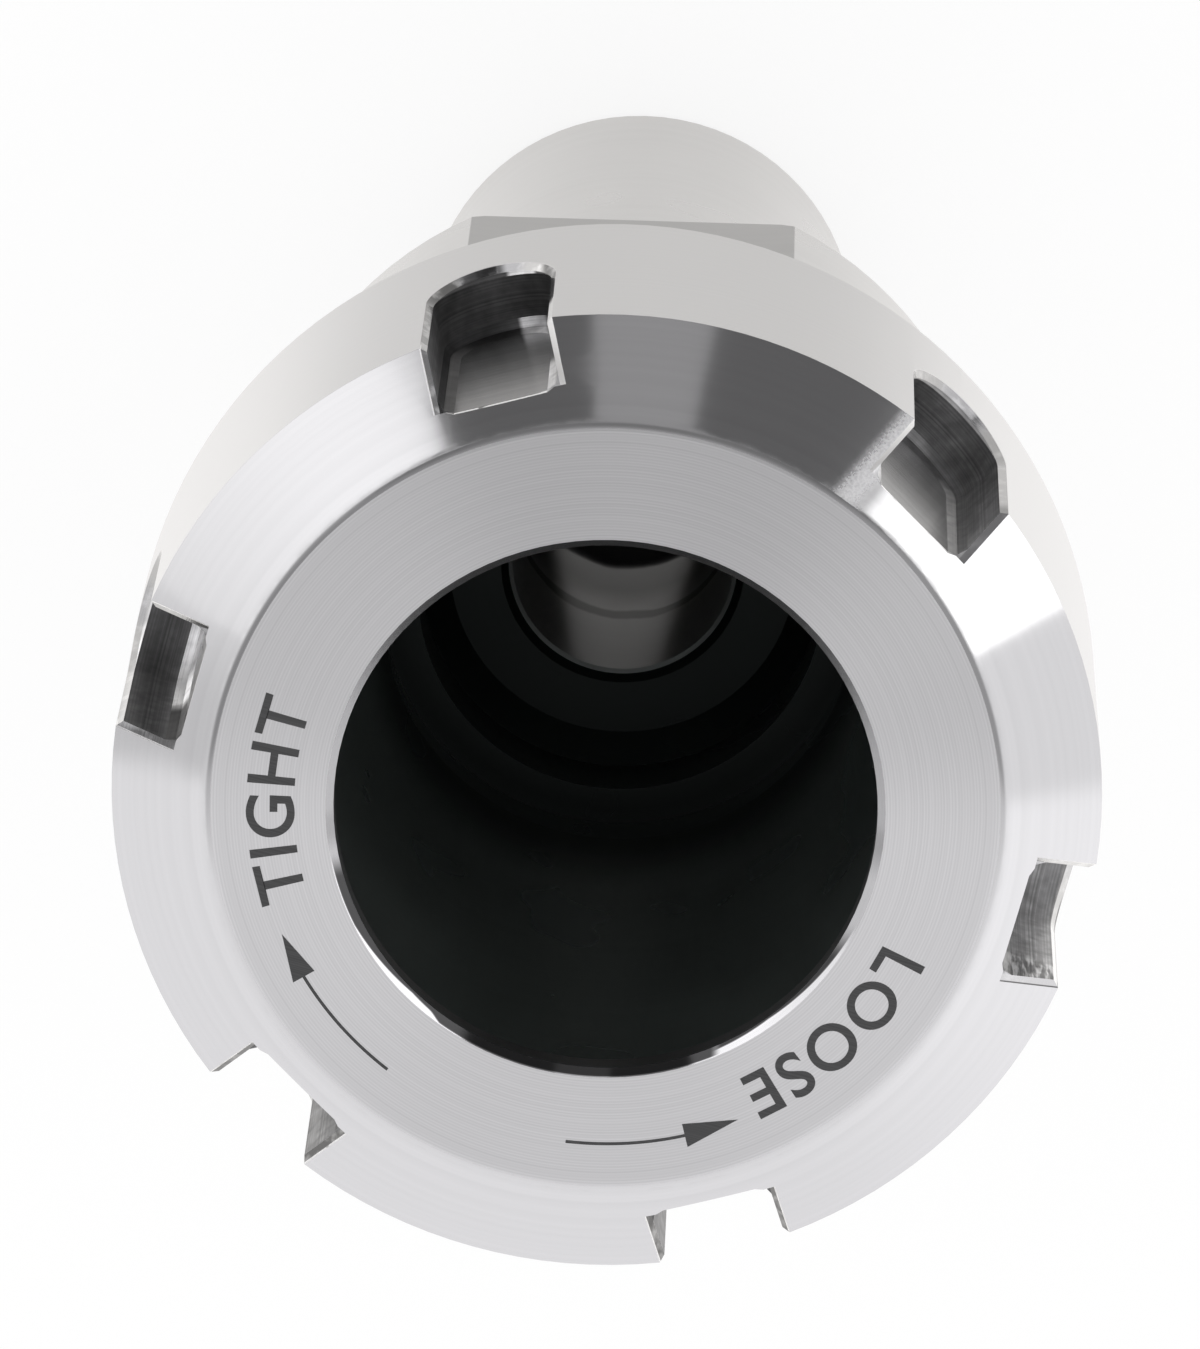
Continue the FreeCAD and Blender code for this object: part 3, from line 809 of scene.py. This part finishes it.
class ChuckMarks(bpy.types.PropertyGroup):
    """The marks on the nut's face: which way it tightens and which way it loosens."""
    tighten_word: StringProperty(
        name="Tighten", description="Word beside the clockwise arrow", default="TIGHT")
    loosen_word: StringProperty(
        name="Loosen", description="Word beside the anticlockwise arrow", default="LOOSE")
    radius: FloatProperty(
        name="Radius", description="From the nut's axis to the middle of the words",
        default=0.01685, min=0.001, unit="LENGTH")
    cap_height: FloatProperty(
        name="Cap height", description="Height of the letters", default=0.0023, min=0.0001,
        unit="LENGTH")
    line_width: FloatProperty(
        name="Line width", description="Width of the arrows' shafts", default=0.00016,
        min=0.00001, unit="LENGTH")
    head_width: FloatProperty(
        name="Head width", description="Width of the arrows' heads", default=0.00125,
        min=0.0001, unit="LENGTH")
    thickness: FloatProperty(
        name="Thickness", description="How far the marks stand off the face", default=0.00001,
        min=0.000001, unit="LENGTH")
    colour: FloatVectorProperty(
        name="Colour", description="Colour of the marked steel", subtype="COLOR", size=3,
        min=0, max=1, default=(0.040, 0.040, 0.041))


class ChuckStage(bpy.types.PropertyGroup):
    """Floor, surroundings and lamps."""
    floor_radius: FloatProperty(
        name="Floor radius", description="Half the width of the round floor", default=1.5,
        min=0.1, unit="LENGTH")
    floor_glow: FloatProperty(
        name="Floor glow", description="Share of the floor's white that no shadow takes",
        default=0.72, min=0, max=1, subtype="FACTOR")
    floor_colour: FloatVectorProperty(
        name="Floor colour", description="Colour of the floor in reflections",
        subtype="COLOR", size=3, min=0, max=1, default=(1.0, 0.985, 0.97))
    left_lamp: FloatProperty(
        name="Left lamp", description="Power of the soft lamp on the left", default=0.11,
        min=0, unit="POWER")
    right_lamp: FloatProperty(
        name="Right lamp", description="Power of the soft lamp on the right", default=0.32,
        min=0, unit="POWER")


class ChuckSettings(bpy.types.PropertyGroup):
    """All that a user would change."""
    finish: PointerProperty(type=ChuckFinish)
    thread: PointerProperty(type=ChuckThread)
    marks: PointerProperty(type=ChuckMarks)
    stage: PointerProperty(type=ChuckStage)


def camera_matrix():
    """The camera's place and turn in metres, from its three directions."""
    turn = Matrix((CAMERA_RIGHT, CAMERA_UP, -CAMERA_AHEAD)).transposed()
    return Matrix.Translation(CAMERA_PLACE * MM) @ turn.to_4x4()


def add_camera():
    data = bpy.data.cameras.new("camera")
    data.sensor_fit = "VERTICAL"
    data.sensor_height = CAMERA_SENSOR_HEIGHT
    data.lens = CAMERA_LENS
    data.clip_end = 10.0
    camera = bpy.data.objects.new("camera", data)
    bpy.context.scene.collection.objects.link(camera)
    camera.matrix_world = camera_matrix()
    bpy.context.scene.camera = camera


def add_lamp(name, place, target, size, power):
    data = bpy.data.lights.new(name, "AREA")
    data.shape = "RECTANGLE"
    data.size, data.size_y = size
    data.energy = power
    lamp = bpy.data.objects.new(name, data)
    bpy.context.scene.collection.objects.link(lamp)
    ahead = (Vector(target) - Vector(place)).normalized()
    lamp.rotation_mode = "QUATERNION"
    lamp.rotation_quaternion = ahead.to_track_quat("-Z", "Y")
    lamp.location = place


class Room:
    """How bright the room is in each direction, as metal mirrors it; the camera's white is 1.

    Levels in pairs are those of the left and the right side. Limits are parts of a direction
    of length 1, whose z is up.
    """
    TINT = (0.982, 0.975, 1.0)
    OVERHEAD = 1.03
    SIDES = (1.19, 1.40)
    CEILING_OVERHEAD = 0.54
    CEILING_FAR_LEFT = 0.84
    CEILING_SIDES = (1.05, 1.12)
    GLOW_TOWARD = (-0.63, 0.35, 0.69)
    GLOW = 0.27
    CARD_LIMITS = (-0.40, 0.555)
    CARD = 0.16
    CARD_BAND_LIMITS = (-0.053, 0.165)
    CARD_BAND = 0.42
    CARD_OVERHEAD = 0.38


def add_world():
    """A white room for the camera. Metal mirrors a grey ceiling, a glow and a dark card in it."""
    world = bpy.data.worlds.new("white_room")
    world.use_nodes = True
    bpy.context.scene.world = world
    tree = Tree(world.node_tree)
    x, y, z = tree.split(tree.node("ShaderNodeTexCoord").outputs["Generated"])
    sides = tree.mix(tree.step(x, 0.3, 0.8), *Room.SIDES)
    level = tree.mix(tree.step(z, 0.95, 0.55), Room.OVERHEAD, sides)
    ceiling = tree.mix(tree.step(x, -0.2, 0.2), *Room.CEILING_SIDES)
    ceiling = tree.mix(tree.step(x, -0.85, -0.60), Room.CEILING_FAR_LEFT, ceiling)
    ceiling = tree.mix(tree.step(z, 0.84, 0.72), Room.CEILING_OVERHEAD, ceiling)
    on_ceiling = tree.both(tree.step(y, -0.27, -0.21), tree.step(z, 0.0, 0.2))
    level = tree.mix(on_ceiling, level, ceiling)
    toward = tree.vector("DOT_PRODUCT", tree.join(x, y, z), Room.GLOW_TOWARD, out="Value")
    level = tree.spread(tree.step(toward, 0.86, 0.985), Room.GLOW, level)
    card = tree.mix(tree.band(x, *Room.CARD_BAND_LIMITS, 0.02), Room.CARD, Room.CARD_BAND)
    card = tree.mix(tree.step(z, 0.84, 0.93), card, Room.CARD_OVERHEAD)
    on_card = tree.both(tree.band(x, *Room.CARD_LIMITS, 0.015), tree.step(y, 0.12, 0.24),
                        tree.step(z, 0.0, 0.1))
    room = tree.scale(tree.mix(on_card, level, card), Room.TINT)
    path = tree.node("ShaderNodeLightPath").outputs
    colour = tree.mix(path["Is Glossy Ray"], WHITE, room, "RGBA")
    background = tree.node("ShaderNodeBackground", {"Color": colour, "Strength": 1.0})
    tree.node("ShaderNodeOutputWorld", {"Surface": background.outputs[0]})


def add_floor(stage):
    """A round white floor that glows for the camera and in the metal, and takes a soft shadow."""
    mesh = bpy.data.meshes.new("floor")
    shape = bmesh.new()
    bmesh.ops.create_circle(shape, cap_ends=True, segments=64, radius=stage.floor_radius)
    shape.to_mesh(mesh)
    shape.free()
    floor = bpy.data.objects.new("floor", mesh)
    bpy.context.scene.collection.objects.link(floor)
    material, tree = new_material("white_floor")
    path = tree.node("ShaderNodeLightPath").outputs
    mirrored = tree.either(path["Is Glossy Ray"], path["Is Transmission Ray"])
    seen = tree.either(path["Is Camera Ray"], mirrored)
    tint = tree.mix(path["Is Camera Ray"], tuple(stage.floor_colour) + (1.0,), WHITE, "RGBA")
    place = Place(tree)
    # Only in reflections: painted light towards the floor's sides and a painted shadow under the
    # bore.
    to_side = tree.math("SUBTRACT", tree.math("ABSOLUTE", place.x), place.y)
    sides = tree.both(tree.step(to_side, *FLOOR_SIDES), mirrored)
    under_bore = tree.both(tree.step(place.radius, BORE_RADIUS + 1.0, BORE_RADIUS), mirrored)
    strength = tree.spread(sides, FLOOR_SIDE_GLOW, stage.floor_glow)
    strength = tree.spread(under_bore, FLOOR_UNDER_BORE, strength)
    paper = tree.node("ShaderNodeBsdfDiffuse", {"Color": tree.scale(1.0 - stage.floor_glow, tint)})
    glow = tree.node("ShaderNodeEmission", {"Color": tint, "Strength": tree.both(seen, strength)})
    both = tree.node("ShaderNodeAddShader", {0: paper.outputs[0], 1: glow.outputs[0]})
    tree.node("ShaderNodeOutputMaterial", {"Surface": both.outputs[0]})
    mesh.materials.append(material)


class CHUCK_OT_stage(bpy.types.Operator):
    """Build the floor, the white room, two soft side lamps and the photograph's camera"""
    bl_idname = "chuck.stage"
    bl_label = "Stage and camera"

    def execute(self, context):
        stage = context.scene.chuck.stage
        context.scene.view_settings.view_transform = "Standard"
        add_camera()
        add_world()
        add_floor(stage)
        aim = (0.0, 0.0, NUT_TOP * MM)
        add_lamp("left_lamp", LEFT_LAMP_PLACE, aim, LEFT_LAMP_SIZE, stage.left_lamp)
        add_lamp("right_lamp", RIGHT_LAMP_PLACE, aim, RIGHT_LAMP_SIZE, stage.right_lamp)
        return {"FINISHED"}


class CHUCK_OT_body_finish(bpy.types.Operator):
    """Give the chuck body its ground and milled steel"""
    bl_idname = "chuck.body_finish"
    bl_label = "Body finish"

    def execute(self, context):
        finish = context.scene.chuck.finish
        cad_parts["chuck_body"].material_slots[0].material = body_material(finish)
        return {"FINISHED"}


class CHUCK_OT_nut_finish(bpy.types.Operator):
    """Give the clamping nut its turned steel, bright chamfer and milled slots"""
    bl_idname = "chuck.nut_finish"
    bl_label = "Nut finish"

    def execute(self, context):
        finish = context.scene.chuck.finish
        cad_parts["clamping_nut"].material_slots[0].material = nut_material(finish)
        return {"FINISHED"}


class CHUCK_OT_thread(bpy.types.Operator):
    """Sweep the bare thread that shows between the collar and the nut"""
    bl_idname = "chuck.thread"
    bl_label = "Bare thread"

    def execute(self, context):
        thread = context.scene.chuck.thread
        material = thread_material(context.scene.chuck.finish)
        group, names = thread_tree(material)
        holder = bpy.data.objects.new("thread_holder", bpy.data.meshes.new("thread_holder"))
        context.scene.collection.objects.link(holder)
        modifier = holder.modifiers.new("ridge", "NODES")
        modifier.node_group = group
        height = (THREAD_END - THREAD_FOOT) * MM - thread.foot_width
        sizes = {"Pitch": thread.pitch, "Turns": height / thread.pitch,
                 "Foot Radius": (THREAD_MEAN_RADIUS - THREAD_SINK) * MM,
                 "Crest Radius": THREAD_CREST_RADIUS * MM,
                 "Foot Width": thread.foot_width, "Crest Width": thread.crest_width,
                 "Foot Height": THREAD_FOOT * MM + thread.foot_width / 2}
        for name, value in sizes.items():
            modifier[names[name]] = value
        mesh = plain_mesh(holder, "bare_thread")
        bpy.data.objects.remove(holder)
        shape = bmesh.new()
        shape.from_mesh(mesh)
        bmesh.ops.remove_doubles(shape, verts=shape.verts, dist=WELD)
        bmesh.ops.recalc_face_normals(shape, faces=shape.faces)
        shape.to_mesh(mesh)
        shape.free()
        add_piece("bare_thread", mesh, material, "chuck")
        return {"FINISHED"}


class CHUCK_OT_marks(bpy.types.Operator):
    """Mark the nut's face with the two words and arrows of its turning directions"""
    bl_idname = "chuck.marks"
    bl_label = "Direction marks"

    def execute(self, context):
        marks = context.scene.chuck.marks
        material = mark_material(marks)
        pieces = {
            "tighten_word": word_mesh(marks.tighten_word, marks, TIGHTEN_WORD_ANGLE),
            "tighten_arrow": arrow_mesh(marks, *TIGHTEN_ARROW),
            "loosen_word": word_mesh(marks.loosen_word, marks, LOOSEN_WORD_ANGLE),
            "loosen_arrow": arrow_mesh(marks, *LOOSEN_ARROW),
        }
        for name, mesh in pieces.items():
            add_piece(name, mesh, material, "nut")
        return {"FINISHED"}


class CHUCK_PT_looks(bpy.types.Panel):
    """Lists the steps and their settings in the sidebar"""
    bl_label = "Collet chuck"
    bl_idname = "CHUCK_PT_looks"
    bl_space_type = "VIEW_3D"
    bl_region_type = "UI"
    bl_category = "Chuck"

    def draw(self, context):
        settings = context.scene.chuck
        for step in STEPS:
            self.layout.operator(step.bl_idname)
        for group in (settings.finish, settings.thread, settings.marks, settings.stage):
            box = self.layout.box()
            for name in group.__annotations__:
                box.prop(group, name)


STEPS = (CHUCK_OT_stage, CHUCK_OT_body_finish, CHUCK_OT_nut_finish, CHUCK_OT_thread, CHUCK_OT_marks)
GROUPS = (ChuckFinish, ChuckThread, ChuckMarks, ChuckStage, ChuckSettings)
CLASSES = GROUPS + STEPS + (CHUCK_PT_looks,)


def register():
    for cls in CLASSES:
        bpy.utils.register_class(cls)
    bpy.types.Scene.chuck = PointerProperty(type=ChuckSettings)


def unregister():
    del bpy.types.Scene.chuck
    for cls in reversed(CLASSES):
        bpy.utils.unregister_class(cls)


def main():
    """Register the add-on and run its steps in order."""
    register()
    bpy.ops.chuck.stage()
    bpy.ops.chuck.body_finish()
    bpy.ops.chuck.nut_finish()
    bpy.ops.chuck.thread()
    bpy.ops.chuck.marks()


if __name__ == "__main__":
    main()
